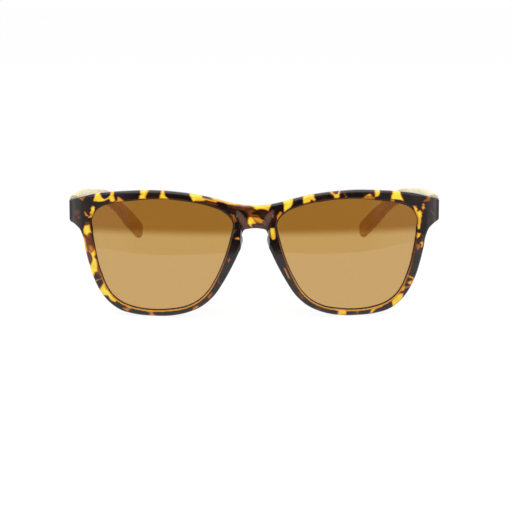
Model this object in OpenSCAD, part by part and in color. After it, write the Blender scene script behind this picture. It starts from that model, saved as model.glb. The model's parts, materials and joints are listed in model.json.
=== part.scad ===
// Sunglasses with a moulded tortoiseshell front, tinted lenses and flat bamboo temples
// on sprung barrel hinges. They stand open on a table, on the rims and the temple tips.
// x runs across the face, y runs back along the temples and z is up.

/* [Front] */
// Radius of the curve that the front follows
front_radius = 260; // [220:5:400]
// Thickness of the rims
front_t = 4.2; // [3.6:0.1:5]
// Height at which the front curve stands furthest forward
curve_w = 28; // [20:1:32]
// Radius of the outer edges
edge_r = 1.1; // [0.5:0.1:1.4]
// Radius between the front face and the side of an end piece
side_r = 6; // [4:0.5:7]
// Radius of the rear edges
rear_r = 0.8; // [0.4:0.1:1.2]
// Radius of the edges of the end pieces
end_r = 0.5; // [0.3:0.1:0.6]
// Width of the bevel round each lens
bevel_w = 0.7; // [0.5:0.1:1.2]
// How far the moulded nose pads stand back from the rims
pad_d = 5.5; // [2:0.5:7]
// Height of the middle of the nose pads
pad_w = 22.5; // [20:0.5:24]
// Half of the height of the nose pads
pad_half = 10; // [8:0.5:12]
// Distance from the front of the bridge back to the rear of the end pieces
end_y = 17; // [16.5:0.5:20]
// Chamfer round the rear of each lens opening
rear_chamfer = 0.5; // [0.3:0.1:0.7]

/* [Lenses] */
// Thickness of a lens
lens_t = 1.8; // [1.4:0.1:2.2]
// How far a lens lies behind the front face
lens_set = 1.2; // [0.8:0.1:1.4]
// Depth of the groove that holds a lens
groove_d = 0.8; // [0.5:0.1:1]
// Play of a lens in its groove
lens_play = 0.08; // [0.04:0.01:0.12]

/* [Hinge] */
// Distance of a hinge pin from the outer end of the front
pin_in = 5.45; // [5.3:0.05:5.6]
// Height of the middle of a hinge
pin_w = 41.3; // [40.5:0.1:42]
// Radius of the hinge barrels
barrel_r = 1.6; // [1.4:0.05:1.7]
// Space between a barrel and the end piece or the temple beside it
barrel_gap = 0.25; // [0.2:0.05:0.35]
// Height of one knuckle of the front leaf
knuckle_h = 1.6; // [1.2:0.1:2]
// Height of the tongue barrel
tongue_h = 2.6; // [2:0.1:3.2]
// Thickness of a nylon washer
washer_t = 0.2; // [0.15:0.05:0.3]
// Play above and below each washer
washer_play = 0.03; // [0.02:0.01:0.05]
// Radius of the hinge screw
screw_r = 0.7; // [0.6:0.05:0.8]
// Radius of the head of the hinge screw
screw_head_r = 1.05; // [0.95:0.05:1.15]
// Depth of the countersink of the hinge screw
screw_head_h = 0.5; // [0.4:0.05:0.6]
// Width of the screwdriver slots
slot_w = 0.25; // [0.2:0.05:0.35]
// Clearance of a turning fit
run_play = 0.03; // [0.02:0.01:0.05]
// Clearance of a fixed fit
fixed_play = 0.01; // [0.01:0.005:0.02]
// Thickness of the leaf plate let into the end piece
leaf_t = 0.8; // [0.6:0.1:1]
// Width and height of the anchor behind the leaf plate
anchor_w = 1.6; // [1.2:0.1:2]
// Length of the anchor
anchor_d = 3; // [2:0.2:3.4]

/* [Spring slide] */
// Radius of the slider rod
rod_r = 0.5; // [0.4:0.05:0.55]
// Length of the slider rod from the pin
rod_l = 13.8; // [12.5:0.1:14]
// Width of the flat shank between the barrel and the rod
shank_t = 1.6; // [1.2:0.1:1.8]
// Height of the flat shank
shank_h = 2.2; // [1.8:0.1:2.4]
// Gap between the shank and the housing at rest
stop_gap = 0.1; // [0.05:0.05:0.2]
// Distance from the pin to the front of the housing
housing_y = 3.4; // [3.3:0.1:3.8]
// Length of the housing block
housing_l = 11.4; // [10.8:0.2:13]
// Height of the housing
housing_h = 4.2; // [3.8:0.1:5]
// Wall of the housing on the side away from the temple
housing_wall = 0.6; // [0.5:0.05:0.7]
// Thickness of the front wall of the housing
nose_wall = 1.4; // [1:0.1:1.8]
// Radius of the housing bore
bore_r = 1.05; // [1:0.05:1.15]
// Length of the housing foot behind the block
foot_l = 8; // [7.6:0.2:10]
// Thickness of the housing foot
foot_t = 0.8; // [0.6:0.1:1]
// Distance between the two housing screws
foot_pitch = 4; // [3.6:0.1:5]
// Radius of a housing screw
foot_screw_r = 0.6; // [0.5:0.05:0.7]
// Radius of the head of a housing screw
foot_head_r = 1; // [0.9:0.05:1.2]
// Depth of the countersink of a housing screw
foot_head_h = 0.4; // [0.3:0.05:0.5]
// Depth of a housing screw in the wood
foot_screw_d = 2.2; // [1.8:0.1:2.6]
// Radius of the stop nut
nut_r = 0.95; // [0.9:0.05:1]
// Length of the stop nut
nut_l = 1.2; // [1:0.1:1.4]
// Radius of the spring wire
wire_r = 0.14; // [0.12:0.01:0.16]
// Mean radius of the spring coils
coil_r = 0.78; // [0.76:0.01:0.82]
// Turns of the spring
coil_turns = 7; // [5:1:9]
// Play at each end of the spring
spring_play = 0.02; // [0.01:0.01:0.05]

/* [Temples] */
// Thickness of a temple
temple_t = 3.7; // [3:0.1:4]
// Length of a temple behind its pin
temple_l = 145; // [135:1:155]
// Height of a temple at the hinge
temple_h = 11; // [10:0.1:11.6]
// Height of a temple where it is slimmest
temple_waist_h = 6.1; // [5:0.1:7.5]
// Height of a temple near its tip
temple_tip_h = 8.2; // [7.9:0.1:9.5]
// Radius of the corners of a temple tip
tip_r = 3.9; // [2:0.1:3.9]
// Angle at which a temple rises from its hinge
rise_start = 7; // [4:0.5:8]
// Angle at which a temple tip points downwards
drop_end = 19.2; // [15:0.1:24]
// Length behind the pin over which a temple bends down
drop_over = 87; // [80:1:110]
// Angle at which the temples close in towards the tips
toe_in = 5.6; // [4:0.1:6]
// Gap between a temple and its end piece
butt_gap = 0.15; // [0.1:0.05:0.3]

/* [Hidden] */
$fn = 48;

// The outline of one half of the front, clockwise from the top of the bridge. Each
// row is a point on the lens opening, then its partner on the outer edge, both as
// the distance from the middle and the height along the front.
RIM = [
    [11.2, 40.6, 0, 43.9],
    [12.95, 41.85, 7.4, 44.7],
    [16.45, 43.25, 13.2, 46.1],
    [21, 44.5, 19.5, 47.6],
    [26.5, 45.4, 26, 48.7],
    [33, 46.1, 33, 49.4],
    [40, 46.2, 40.5, 49.7],
    [47, 45.5, 48, 49.4],
    [53.1, 44.75, 55, 48.9],
    [57.75, 43.75, 62, 48.1],
    [60.35, 42.7, 68.3, 46.6],
    [61.35, 42, 71.6, 45.7],
    [62.1, 41.3, 72.8, 45.3],
    [62.65, 40.5, 73.3, 44.7],
    [62.9, 40.05, 73.3, 44.2],
    [63.5, 38.9, 73.3, 41],
    [63.95, 37.2, 73.3, 37.9],
    [63.95, 36.6, 73.3, 37.4],
    [63.9, 35.8, 72.9, 36.8],
    [63.6, 34.25, 71.1, 35.8],
    [63.5, 32.15, 69.1, 34.2],
    [63.15, 29.45, 67.75, 31.2],
    [62.4, 25.05, 66.8, 26.1],
    [61.45, 20.35, 65.6, 21],
    [60.05, 15.9, 63.8, 15],
    [58.4, 11.7, 61, 9.2],
    [55.7, 7.75, 57.5, 4.9],
    [52.05, 5.05, 53.2, 2],
    [46.85, 3.3, 48, 0.6],
    [40.1, 2.55, 40.5, 0],
    [32.8, 3, 32.5, 0.3],
    [27.15, 4.15, 26, 1.8],
    [22.05, 6.8, 20, 4.8],
    [18.4, 10.5, 15.6, 9],
    [15.65, 15.05, 12.3, 14],
    [13.3, 19.95, 9.2, 19.6],
    [11.3, 25.4, 6.6, 25],
    [10.1, 29.45, 5.2, 29.2],
    [9.3, 32.5, 4.8, 32.4],
    [8.8, 34.3, 4.5, 34.4],
    [8.65, 35.3, 3.6, 35.1],
    [8.55, 36.1, 1.8, 35.3],
    [8.65, 36.9, 0, 35.4]];
// Points on the lens opening beside the bridge, with the height of their partners
// in the middle of the front
NASAL = [
    [9.1, 38.25, 36.8],
    [10.05, 39.55, 42.4]];
// Steps between two points of the outline
STEPS = 2;

function mix(a, b, t) = a + (b - a) * t;
function clamp01(t) = max(0, min(1, t));
function smooth(t) = clamp01(t) * clamp01(t) * (3 - 2 * clamp01(t));
function unit(v) = v / norm(v);
// Tangent at b of a curve through a, b and c, for uneven spacing
function slope(a, b, c) =
    let(h0 = norm(b - a), h1 = norm(c - b))
    ((c - b) / h1 * h0 + (b - a) / h0 * h1) / (h0 + h1);
// Point at t between b and c on the curve through a, b, c and d
function curve(a, b, c, d, t) =
    let(h = norm(c - b), m0 = slope(a, b, c) * h, m1 = slope(b, c, d) * h)
    (2 * t * t * t - 3 * t * t + 1) * b + (t * t * t - 2 * t * t + t) * m0
    + (3 * t * t - 2 * t * t * t) * c + (t * t * t - t * t) * m1;

rim_n = len(RIM);
// The lens opening as a closed loop of points
inner_loop = concat(
    [for (r = RIM) [r[0], r[1]]],
    [for (r = NASAL) [r[0], r[1]]]);
loop_n = len(inner_loop);
function inner_at(i) = inner_loop[(i + loop_n) % loop_n];
// The outer edge, which carries on past the middle as its own mirror image
function outer_at(i) =
    i < 0 ? [-RIM[-i][2], RIM[-i][3]]
    : i < rim_n ? [RIM[i][2], RIM[i][3]]
    : [-RIM[2 * rim_n - 2 - i][2], RIM[2 * rim_n - 2 - i][3]];
// Heights in the middle of the front, from the underside of the bridge to its top
middle_w = concat([RIM[rim_n - 1][3]], [for (r = NASAL) r[2]], [RIM[0][3]]);

inner = [for (i = [0:loop_n - 1]) for (j = [0:STEPS - 1])
    curve(inner_at(i - 1), inner_at(i), inner_at(i + 1), inner_at(i + 2), j / STEPS)];
outer = [for (i = [0:loop_n - 1]) for (j = [0:STEPS - 1])
    i < rim_n - 1
    ? curve(outer_at(i - 1), outer_at(i), outer_at(i + 1), outer_at(i + 2), j / STEPS)
    : [0, mix(middle_w[i - rim_n + 1], middle_w[i - rim_n + 2], j / STEPS)]];
station_n = len(inner);
last_rim = (rim_n - 1) * STEPS;

// Outward direction of a clockwise loop at station i
function inner_out(i) =
    let(t = unit(inner[(i + 1) % station_n] - inner[(i + station_n - 1) % station_n]))
    [-t[1], t[0]];
// Outward direction of the outer edge. It is upright at both ends of the bridge,
// and nothing where the two halves meet.
function outer_out(i) =
    i == 0 ? [0, 1]
    : i == last_rim ? [0, -1]
    : i > last_rim ? [0, 0]
    : let(t = unit(outer[i + 1] - outer[i - 1])) [-t[1], t[0]];

// Depth at the point p of the surface that lies d behind the front face
function shell_y(p, d) =
    front_radius - sqrt(pow(front_radius - d, 2) - pow(p[0], 2) - pow(p[1] - curve_w, 2));
function face_y(p) = shell_y(p, 0);
// The front face as it is seen, which turns back towards the sides of the end pieces
half_w = max([for (r = RIM) r[2]]);
pin_x = half_w - pin_in;
function skin_y(p) =
    let(x = max(0, min(p[0], half_w - edge_r) - half_w + side_r))
    face_y(p) + side_r - sqrt(side_r * side_r - x * x);
// Where the thick part of an end piece begins, just inboard of the hinge leaf
LEAF_LAND = 0.4;
block_x = pin_x - barrel_r - LEAF_LAND;
// Places on the front where the end pieces grow to their full depth
END_X = [63, 68];
END_W = [29, 37];
// Distance from the middle within which the nose pads lie
PAD_X = 26;
// Places of the step between the rear of a rim and its outer part, as shares of the
// way from the lens opening to the outer edge
STEP_SHARE = 0.62;
STEP_LIMITS = [0.2, 0.75];
STEP_RUN = [0.22, 0.1];
// How far the value v has come between the two limits, from 0 to 1
function between(v, limits) = smooth((v - limits[0]) / (limits[1] - limits[0]));
// How far the point p of the outer edge belongs to the end piece, from 0 to 1
function end_share(p) = between(p[0], END_X) * between(p[1], END_W);
// Extra depth of the nose pad at the point p of the outer edge
function pad_share(p) =
    p[0] > PAD_X ? 0 : pow(1 - pow(clamp01(abs(p[1] - pad_w) / pad_half), 2), 2);

// Cross-section of the front at station i, as points [x, y, z] round the section
function section(i) =
    let(
        a = inner[i],
        b = outer[i],
        ao = inner_out(i),
        bo = outer_out(i),
        closed = norm(bo) > 0 ? 1 : 0,
        e = end_share(b),
        fr = closed * mix(edge_r, end_r, e),
        rr = closed * mix(rear_r, end_r, e),
        lip = a + ao * groove_d,
        back = mix(face_y(b) + front_t + pad_d * pad_share(b) * closed, end_y, e),
        start = a + ao * bevel_w,
        stop = b - bo * fr,
        shelf = (block_x - a[0]) / max(b[0] - a[0], 1),
        near = max(STEP_LIMITS[0], min(STEP_LIMITS[1], shelf)),
        g = mix(STEP_SHARE, near, smooth(4 * e)),
        g1 = mix(a, b, g - mix(STEP_RUN[0], STEP_RUN[1], e)),
        g2 = mix(a, b, g),
        flat = function(p, y) [p[0], y, p[1]])
    concat(
        [flat(a, shell_y(a, lens_set - lens_play))],
        [for (t = [0, 0.4, 0.65, 0.85])
            let(p = mix(start, stop, t))
            flat(p, skin_y(p))],
        [for (t = [0:30:90])
            let(p = b - bo * fr * (1 - sin(t)))
            flat(p, skin_y(p) + fr * (1 - cos(t)))],
        [for (t = [90:-45:0])
            let(p = b - bo * rr * (1 - sin(t)))
            flat(p, back - rr * (1 - cos(t)))],
        [flat(g2, mix(face_y(g2) + front_t + (back - face_y(b) - front_t), end_y, e))],
        [flat(g1, face_y(g1) + front_t)],
        [flat(a + ao * rear_chamfer, face_y(a) + front_t)],
        [flat(a, face_y(a) + front_t - rear_chamfer)],
        [flat(a, shell_y(a, lens_set + lens_t + lens_play))],
        [flat(lip, shell_y(lip, lens_set + lens_t + lens_play))],
        [flat(lip, shell_y(lip, lens_set - lens_play))]);

sections = [for (i = [0:station_n - 1]) section(i)];
section_n = len(sections[0]);
half_points = [for (s = sections) for (p = s) p];
point_n = len(half_points);
half_faces = [for (i = [0:station_n - 1]) for (k = [0:section_n - 1])
    let(
        i2 = (i + 1) % station_n,
        k2 = (k + 1) % section_n,
        q = [i * section_n + k, i * section_n + k2, i2 * section_n + k2, i2 * section_n + k])
    each [[q[0], q[1], q[2]], [q[0], q[2], q[3]]]];
// Faces in the middle of the front are left out, because the two halves join there
function in_middle(f) = max([for (k = f) half_points[k][0]]) < 0.001;
right_faces = [for (f = half_faces) if (!in_middle(f)) f];
function mirrored(k) = half_points[k][0] < 0.001 ? k : k + point_n;
left_faces = [for (f = right_faces) [mirrored(f[0]), mirrored(f[2]), mirrored(f[1])]];
front_points = concat(half_points, [for (p = half_points) [-p[0], p[1], p[2]]]);

// The hinge pin, and what stands round it
pin_y = end_y + barrel_r + barrel_gap;
temple_in = barrel_r + barrel_gap;
stack_h = 2 * knuckle_h + tongue_h + 2 * washer_t + 4 * washer_play;
tongue_gap_h = stack_h - 2 * knuckle_h;
housing_end = housing_y + housing_l;
spring_start = housing_y + nose_wall;
nut_y = rod_l - nut_l;

// Angle of the middle line of a temple at the distance s from the pin
function drop_at(s) = mix(-rise_start, drop_end, clamp01(s / drop_over));
// Ends of the slim part and start of the tip, as shares of the length of a temple
WAIST = [0.28, 0.6];
TIP_SHARE = 0.8;
function height_at(s) =
    let(p = s / temple_l)
    p < WAIST[1] ? mix(temple_h, temple_waist_h, smooth(p / WAIST[0]))
    : mix(temple_waist_h, temple_tip_h, smooth((p - WAIST[1]) / (TIP_SHARE - WAIST[1])));
LINE_STEP = 5;
line_start = -5;
line_n = floor((temple_l - tip_r - line_start) / LINE_STEP);
// Middle line of a temple, as [y, z] at each step
function line_point(s) =
    s <= line_start ? line_start * [cos(rise_start), sin(rise_start)]
    : line_point(s - LINE_STEP) + LINE_STEP * [cos(drop_at(s - LINE_STEP / 2)),
        -sin(drop_at(s - LINE_STEP / 2))];
line = [for (i = [0:line_n]) line_point(line_start + i * LINE_STEP)];
function line_s(i) = line_start + i * LINE_STEP;
// Point beside the middle line at step i, with side 1 above and -1 below
function beside(i, side) =
    line[i] + side * height_at(line_s(i)) / 2 * [sin(drop_at(line_s(i))), cos(drop_at(line_s(i)))];
tip_dir = [cos(drop_end), -sin(drop_end)];
tip_up = [sin(drop_end), cos(drop_end)];
tip_mid = line[line_n] + tip_dir * (temple_l - tip_r - line_s(line_n));
tip_half = height_at(temple_l - tip_r) / 2 - tip_r;
temple_outline = concat(
    [for (i = [0:line_n]) beside(i, 1)],
    [for (t = [90:-15:0]) tip_mid + tip_up * (tip_half + tip_r * sin(t)) + tip_dir * tip_r * cos(t)],
    [for (t = [0:-15:-90]) tip_mid + tip_up * (tip_r * sin(t) - tip_half) + tip_dir * tip_r * cos(t)],
    [for (i = [line_n:-1:0]) beside(i, -1)]);

// Angle by which the glasses lean back on a table, found by halving
low_front = [for (p = half_points) if (p[2] < 4) [p[1], p[2]]];
low_tip = [for (p = temple_outline) if (p[0] > temple_l / 2)
    [pin_y + p[0] * cos(toe_in) + (temple_in + temple_t) * sin(toe_in), pin_w + p[1]]];
function lowest(points, a) = min([for (p = points) p[1] * cos(a) - p[0] * sin(a)]);
function lean_between(a, b, n) =
    let(m = (a + b) / 2)
    n == 0 ? m
    : lowest(low_tip, m) > lowest(low_front, m) ? lean_between(m, b, n - 1)
    : lean_between(a, m, n - 1);
lean = lean_between(0, 15, 24);
lift = -lowest(low_front, lean);
front_edge = min([for (p = half_points) p[1] * cos(lean) + p[2] * sin(lean)]);
rear_edge = max([for (p = low_tip) p[0] * cos(lean) + p[1] * sin(lean)]);
mid_y = (front_edge + rear_edge) / 2;

// From the front's own upright frame to the glasses as they stand on the table
module standing() {
    translate([0, -mid_y, lift]) rotate([-lean, 0, 0]) children();
}

// From a hinge frame to the glasses. Its origin is the middle of the pin, its x runs
// outwards and its y backwards. The left side is a mirror image.
module at_hinge(side) {
    standing() mirror([side < 0 ? 1 : 0, 0, 0]) translate([pin_x, pin_y, pin_w]) children();
}

// The same frame turned to run along the temple
module at_temple(side) {
    at_hinge(side) rotate([0, 0, toe_in]) children();
}

module front_frame() {
    color("saddlebrown") standing() difference() {
        polyhedron(points = front_points, faces = concat(right_faces, left_faces));
        for (side = [1, -1]) {
            mirror([side < 0 ? 1 : 0, 0, 0]) translate([pin_x, pin_y, pin_w])
                leaf_inset(fixed_play);
        }
    }
}

module lens(side) {
    outline = [for (i = [0:station_n - 1])
        inner[i] + inner_out(i) * (groove_d - lens_play)];
    color([0.62, 0.42, 0.16, 0.8]) standing() mirror([side < 0 ? 1 : 0, 0, 0]) intersection() {
        translate([0, front_radius, curve_w]) difference() {
            sphere(r = front_radius - lens_set, $fn = 240);
            sphere(r = front_radius - lens_set - lens_t, $fn = 240);
        }
        rotate([90, 0, 0]) translate([0, 0, -2 * end_y]) linear_extrude(2 * end_y)
            polygon(outline);
    }
}

// Plate and anchor that are let into an end piece, larger all round by play
module leaf_inset(play) {
    plate_w = 2 * barrel_r + 2 * play;
    block_w = anchor_w + 2 * play;
    face = -barrel_r - barrel_gap;
    translate([-plate_w / 2, face - leaf_t - play, -stack_h / 2 - play])
        cube([plate_w, leaf_t + play + (play > 0 ? 1 : 0), stack_h + 2 * play]);
    translate([-block_w / 2, face - leaf_t - anchor_d - play, -block_w / 2])
        cube([block_w, anchor_d + 2 * play, block_w]);
}

module front_hinge(side) {
    color("silver") at_hinge(side) difference() {
        union() {
            leaf_inset(0);
            translate([-barrel_r, -barrel_r - barrel_gap, -stack_h / 2])
                cube([2 * barrel_r, barrel_r + barrel_gap, stack_h]);
            translate([0, 0, -stack_h / 2]) cylinder(r = barrel_r, h = stack_h);
        }
        translate([0, 0, -tongue_gap_h / 2])
            cylinder(r = barrel_r + barrel_gap, h = tongue_gap_h);
        translate([-2 * barrel_r, -barrel_r - barrel_gap, -tongue_gap_h / 2])
            cube([4 * barrel_r, 4 * barrel_r, tongue_gap_h]);
        translate([0, 0, -stack_h]) cylinder(r = screw_r + fixed_play, h = 2 * stack_h);
        translate([0, 0, stack_h / 2 - screw_head_h])
            cylinder(r1 = screw_r + fixed_play, r2 = screw_head_r + fixed_play, h = screw_head_h);
    }
}

module hinge_screw(side) {
    color("gainsboro") at_hinge(side) difference() {
        union() {
            translate([0, 0, -stack_h / 2]) cylinder(r = screw_r, h = stack_h);
            translate([0, 0, stack_h / 2 - screw_head_h])
                cylinder(r1 = screw_r, r2 = screw_head_r, h = screw_head_h);
        }
        translate([-2 * screw_head_r, -slot_w / 2, stack_h / 2 - screw_head_h / 2])
            cube([4 * screw_head_r, slot_w, screw_head_h]);
    }
}

module hinge_washers(side) {
    color("whitesmoke") at_hinge(side) for (end = [1, -1]) {
        translate([0, 0, end * (tongue_gap_h / 2 - washer_play - washer_t / 2)]) difference() {
            cylinder(r = barrel_r, h = washer_t, center = true);
            cylinder(r = screw_r + run_play, h = 2 * washer_t, center = true);
        }
    }
}

module hinge_tongue(side) {
    shank_end = housing_y - stop_gap;
    color("silver") at_temple(side) difference() {
        union() {
            cylinder(r = barrel_r, h = tongue_h, center = true);
            translate([-shank_t / 2, 0, -shank_h / 2]) cube([shank_t, shank_end, shank_h]);
            rotate([-90, 0, 0]) translate([0, 0, shank_end / 2])
                cylinder(r = rod_r, h = rod_l - shank_end / 2);
        }
        cylinder(r = screw_r + run_play, h = 2 * tongue_h, center = true);
    }
}

module spring_stop(side) {
    color("gold") at_temple(side) rotate([-90, 0, 0]) translate([0, 0, nut_y]) difference() {
        cylinder(r = nut_r, h = nut_l);
        translate([0, 0, -1]) cylinder(r = rod_r + fixed_play, h = nut_l + 2);
    }
}

// A coil of round wire between the front wall of the housing and the stop nut
module slider_spring(side) {
    sides = 6;
    per_turn = 10;
    ring_n = coil_turns * per_turn;
    start = spring_start + wire_r + spring_play;
    rise = nut_y - wire_r - spring_play - start;
    function ring(i) = [for (k = [0:sides - 1])
        let(a = 360 * i / per_turn, r = coil_r + wire_r * cos(360 * k / sides))
        [r * cos(a), start + rise * i / ring_n + wire_r * sin(360 * k / sides), r * sin(a)]];
    points = [for (i = [0:ring_n]) each ring(i)];
    tube = [for (i = [0:ring_n - 1]) for (k = [0:sides - 1])
        let(
            q = i * sides + k,
            n = i * sides + (k + 1) % sides)
        each [[q, n + sides, n], [q, q + sides, n + sides]]];
    first_end = [[for (k = [0:sides - 1]) k]];
    last_end = [[for (k = [sides - 1:-1:0]) ring_n * sides + k]];
    color("dimgray") at_temple(side)
        polyhedron(points = points, faces = concat(tube, first_end, last_end));
}

// Screw places along the housing foot, from the pin
foot_screws = [for (k = [-1, 1]) housing_end + foot_l / 2 + k * foot_pitch / 2];

module spring_housing(side) {
    inner_x = -bore_r - housing_wall;
    color("silver") at_temple(side) difference() {
        union() {
            translate([inner_x, housing_y, -housing_h / 2])
                cube([temple_in - inner_x, housing_l, housing_h]);
            translate([temple_in - foot_t, housing_y, -housing_h / 2])
                cube([foot_t, housing_l + foot_l, housing_h]);
        }
        rotate([-90, 0, 0]) cylinder(r = rod_r + run_play, h = 2 * housing_end);
        rotate([-90, 0, 0]) translate([0, 0, spring_start]) cylinder(r = bore_r, h = housing_l);
        for (y = foot_screws) {
            translate([temple_in, y, 0]) rotate([0, -90, 0]) {
                translate([0, 0, -1])
                    cylinder(r = foot_screw_r + fixed_play, h = foot_t + 2);
                translate([0, 0, foot_t - foot_head_h])
                    cylinder(r1 = foot_screw_r + fixed_play, r2 = foot_head_r + fixed_play,
                        h = foot_head_h);
            }
        }
    }
}

module housing_screws(side) {
    color("gainsboro") at_temple(side) for (y = foot_screws) {
        translate([temple_in, y, 0]) rotate([0, -90, 0]) difference() {
            union() {
                translate([0, 0, -foot_screw_d])
                    cylinder(r = foot_screw_r, h = foot_screw_d + foot_t);
                translate([0, 0, foot_t - foot_head_h])
                    cylinder(r1 = foot_screw_r, r2 = foot_head_r, h = foot_head_h);
            }
            translate([-2 * foot_head_r, -slot_w / 2, foot_t - foot_head_h / 2])
                cube([4 * foot_head_r, slot_w, foot_head_h]);
        }
    }
}

module temple(side) {
    color("burlywood") at_hinge(side) difference() {
        rotate([0, 0, toe_in]) difference() {
            translate([temple_in, 0, 0]) rotate([90, 0, 90]) linear_extrude(temple_t)
                polygon(temple_outline);
            for (y = foot_screws) {
                translate([temple_in - 1, y, 0]) rotate([0, 90, 0])
                    cylinder(r = foot_screw_r + fixed_play, h = foot_screw_d + fixed_play + 1);
            }
        }
        translate([-10, -barrel_r - barrel_gap + butt_gap - 20, -10]) cube([20, 20, 20]);
    }
}

front_frame();
lens(1);  // right_lens
lens(-1);  // left_lens
front_hinge(1);  // right_front_hinge
front_hinge(-1);  // left_front_hinge
hinge_screw(1);  // right_hinge_screw
hinge_screw(-1);  // left_hinge_screw
hinge_washers(1);  // right_hinge_washers
hinge_washers(-1);  // left_hinge_washers
hinge_tongue(1);  // right_hinge_tongue
hinge_tongue(-1);  // left_hinge_tongue
spring_stop(1);  // right_spring_stop
spring_stop(-1);  // left_spring_stop
slider_spring(1);  // right_slider_spring
slider_spring(-1);  // left_slider_spring
spring_housing(1);  // right_spring_housing
spring_housing(-1);  // left_spring_housing
housing_screws(1);  // right_housing_screws
housing_screws(-1);  // left_housing_screws
temple(1);  // right_temple
temple(-1);  // left_temple
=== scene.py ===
import json
import math

import bmesh
import bpy
import numpy as np
from mathutils import Matrix, Vector, noise


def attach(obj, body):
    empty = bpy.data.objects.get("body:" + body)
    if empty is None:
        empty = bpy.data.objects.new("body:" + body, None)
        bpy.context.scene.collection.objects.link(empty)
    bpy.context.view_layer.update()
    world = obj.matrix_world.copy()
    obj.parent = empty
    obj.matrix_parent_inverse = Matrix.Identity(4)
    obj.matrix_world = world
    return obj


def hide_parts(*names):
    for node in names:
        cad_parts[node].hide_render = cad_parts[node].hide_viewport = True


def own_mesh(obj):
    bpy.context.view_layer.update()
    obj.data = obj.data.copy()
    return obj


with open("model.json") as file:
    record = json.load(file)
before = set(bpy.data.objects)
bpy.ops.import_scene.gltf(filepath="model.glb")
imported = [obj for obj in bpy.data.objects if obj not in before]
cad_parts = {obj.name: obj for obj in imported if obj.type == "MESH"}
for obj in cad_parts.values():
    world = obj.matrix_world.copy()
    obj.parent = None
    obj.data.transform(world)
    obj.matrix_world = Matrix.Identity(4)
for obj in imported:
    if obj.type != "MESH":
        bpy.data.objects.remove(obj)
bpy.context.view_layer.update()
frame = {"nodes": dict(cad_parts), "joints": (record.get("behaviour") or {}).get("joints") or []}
mm = 0.001
cadWeld = 1e-7  # metres
joints = {joint["name"]: joint for joint in frame["joints"]}
print("frame loaded")

# The front leans back as the fold axis does, and the temples toe in as the slide does
foldAxis = Vector(joints["right_fold"]["axis"])
pinPlace = Vector(joints["right_fold"]["pos_m"])
leanBack = math.atan2(foldAxis.y, foldAxis.z)
toeIn = math.asin(-joints["right_spring_slide"]["axis"][0])

cameraView = {"place": (-0.0058, -0.53092, 0.1279), "downwards": 12.85, "turn": -0.74,
              "lens": 84.14, "shift": (0.00166, 0.0012)}

# All lengths of the glasses are in millimetres
frontSizes = {
    "radius": 260, "thickness": 4.2, "curveHeight": 28, "edgeRadius": 1.1, "sideRadius": 6,
    "rearRadius": 0.8, "endRadius": 0.5, "bevel": 0.7, "rearChamfer": 0.5, "padDepth": 5.5,
    "padHeight": 22.5, "padHalf": 10, "padReach": 26, "endDepth": 17, "endAcross": (63, 68),
    "endUp": (29, 37), "halfWidth": 73.3, "steps": 12}
saddleCut = {"top": [(0, 37.3), (2.6, 37.5), (3.6, 39.3), (4.9, 41), (6.5, 42.3), (7.5, 42.6)],
             "side": [(34.9, 5.3), (36.3, 5.6), (39.8, 6.9), (42.6, 7.6)], "steepness": 0.24}
lensSizes = {"thickness": 1.8, "setBack": 1.2, "groove": 0.8, "play": 0.08, "rings": 20}
hingeSizes = {"pinX": 67.85, "pinY": 18.85, "pinHeight": 41.3, "barrel": 1.6, "gap": 0.25,
              "leaf": 0.8, "stack": 6.32, "shelfRoom": 0.4}
templeSizes = {
    "thickness": 3.7, "length": 145, "rootHeight": 11, "waistHeight": 6.1, "tipHeight": 8.2,
    "waist": (0.28, 0.6), "tipShare": 0.8, "tipRadius": 3.9, "riseStart": 7,
    "dropEnd": 19.2, "dropOver": 87, "buttGap": 0.15, "outerEdge": 1.6, "innerEdge": 1.5,
    "shade": (25, 70)}

# One half of the front, clockwise from the top of the bridge: a point on the lens
# opening, then its partner on the outer edge
rimPoints = [
    (11.2, 40.6, 0, 43.9), (12.95, 41.85, 7.4, 44.7), (16.45, 43.25, 13.2, 46.1),
    (21, 44.5, 19.5, 47.6), (26.5, 45.4, 26, 48.7), (33, 46.1, 33, 49.4), (40, 46.2, 40.5, 49.7),
    (47, 45.5, 48, 49.4), (53.1, 44.75, 55, 48.9), (57.75, 43.75, 62, 48.1),
    (60.35, 42.7, 68.3, 46.6), (61.35, 42, 71.6, 45.7), (62.1, 41.3, 72.8, 45.3),
    (62.65, 40.5, 73.3, 44.7), (62.9, 40.05, 73.3, 44.2), (63.5, 38.9, 73.3, 41),
    (63.95, 37.2, 73.3, 37.9), (63.95, 36.6, 73.3, 37.4), (63.9, 35.8, 72.9, 36.8),
    (63.6, 34.25, 71.1, 35.8), (63.5, 32.15, 69.1, 34.2), (63.15, 29.45, 67.75, 31.2),
    (62.4, 25.05, 66.8, 26.1), (61.45, 20.35, 65.6, 21), (60.05, 15.9, 63.8, 15),
    (58.4, 11.7, 61, 9.2), (55.7, 7.75, 57.5, 4.9), (52.05, 5.05, 53.2, 2), (46.85, 3.3, 48, 0.6),
    (40.1, 2.55, 40.5, 0), (32.8, 3, 32.5, 0.3), (27.15, 4.15, 26, 1.8), (22.05, 6.8, 20, 4.8),
    (18.4, 10.5, 15.6, 9), (15.65, 15.05, 12.3, 14), (13.3, 19.95, 9.2, 19.6),
    (11.3, 25.4, 6.6, 25), (10.1, 29.45, 4.87, 29.2), (9.3, 32.5, 4.76, 30.8),
    (8.8, 34.3, 4.93, 32.9), (8.65, 35.3, 4.1, 34.4), (8.55, 36.1, 2.2, 34.98),
    (8.65, 36.9, 0, 35.18)]
# Points on the lens opening beside the bridge, with heights of partners in the middle
nasalPoints = [(9.1, 38.25, 36.8), (10.05, 39.55, 42.4)]

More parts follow.
